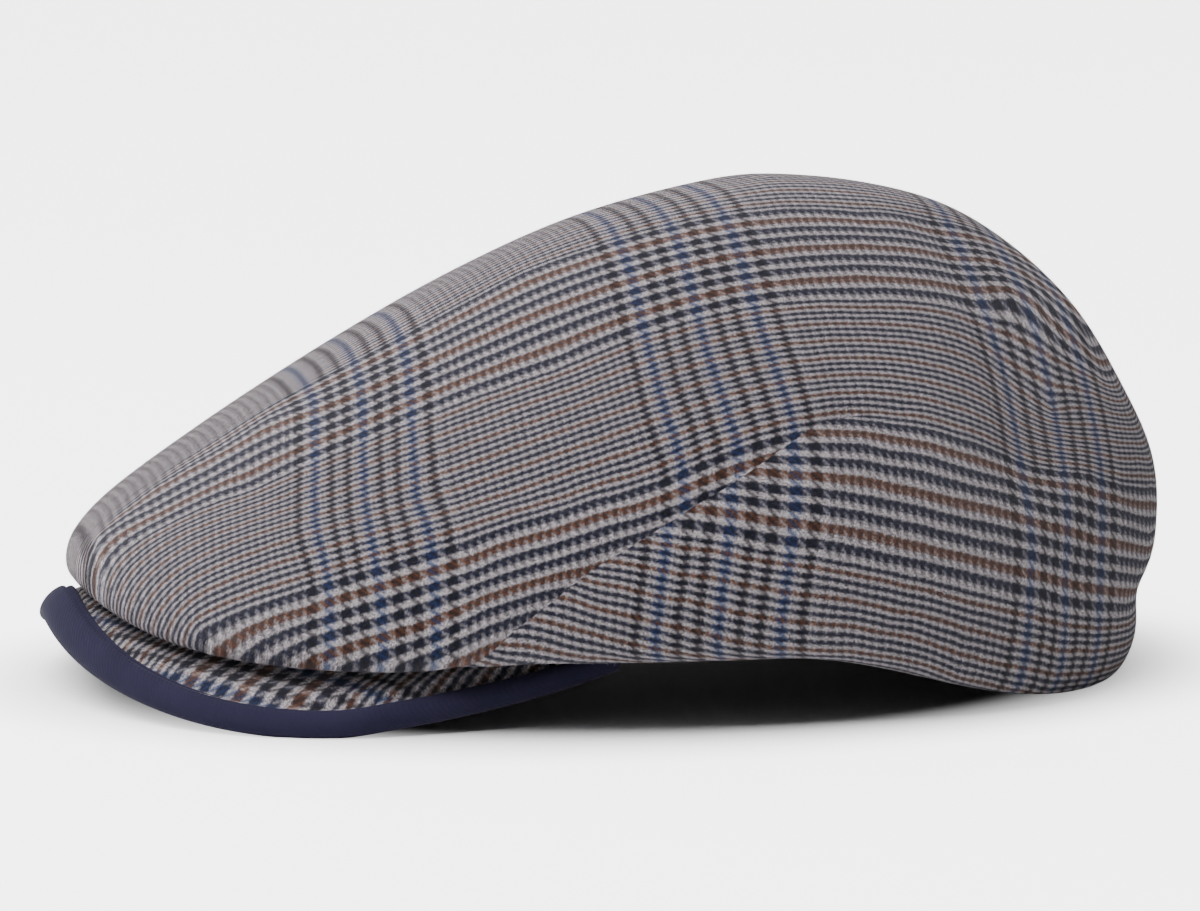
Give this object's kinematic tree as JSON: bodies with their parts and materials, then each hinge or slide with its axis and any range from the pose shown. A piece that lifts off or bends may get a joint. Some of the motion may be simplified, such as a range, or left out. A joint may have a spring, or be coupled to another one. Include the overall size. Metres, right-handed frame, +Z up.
{
  "type": "flat cap",
  "caption": "Flat cap of checked wool, its rounded crown drawn forward over a short curved peak with a plain padded binding; a dart shapes each side.",
  "frame": {"origin": "middle of the cap's bounding box at the surface it lies on", "axes": "+Z up, -Y towards the peak (the wearer's front), +X towards the wearer's left"},
  "size_m": [0.2042, 0.2793, 0.1215],
  "materials": {
    "checked_wool": "2/2 twill wool in a glen check of light grey, navy, brown, black and blue",
    "navy_cotton": "matt plain woven navy cotton"
  },
  "bodies": {
    "root": {"crown": "checked_wool", "peak_cover": "checked_wool", "peak_underside": "navy_cotton", "peak_binding": "navy_cotton"}
  },
  "joints": []
}
